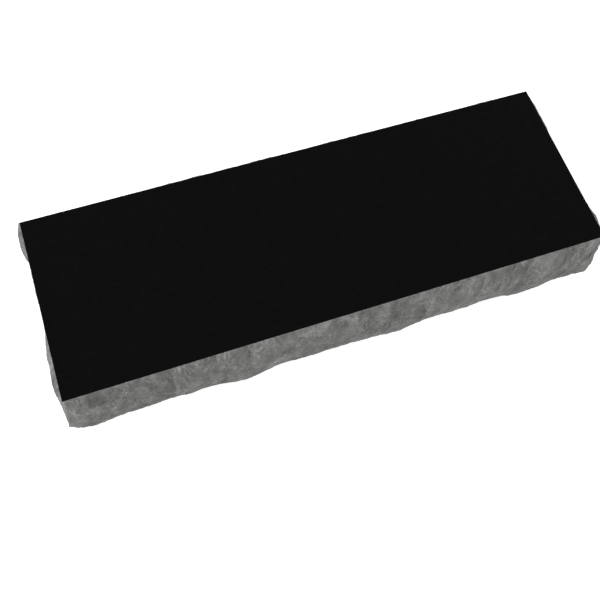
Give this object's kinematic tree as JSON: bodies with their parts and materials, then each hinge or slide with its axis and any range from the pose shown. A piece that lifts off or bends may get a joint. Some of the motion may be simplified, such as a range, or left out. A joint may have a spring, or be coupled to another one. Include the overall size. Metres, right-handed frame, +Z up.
{
  "type": "granite bench slab",
  "caption": "Long block of black granite with a polished flat working face, split rock-faced sides and a sawn underside, on small rubber feet.",
  "frame": {"origin": "on the bench, under the middle of the slab, level with the undersides of the feet", "axes": "+X along the slab's length to the right, +Y to the back, +Z up out of the polished face"},
  "size_m": [0.316, 0.116, 0.0543],
  "materials": {
    "granite": "polished",
    "foot_rubber": "matte"
  },
  "bodies": {
    "root": {"granite_slab": "granite", "foot_front_left": "foot_rubber", "foot_front_right": "foot_rubber", "foot_back_left": "foot_rubber", "foot_back_right": "foot_rubber"}
  },
  "joints": []
}
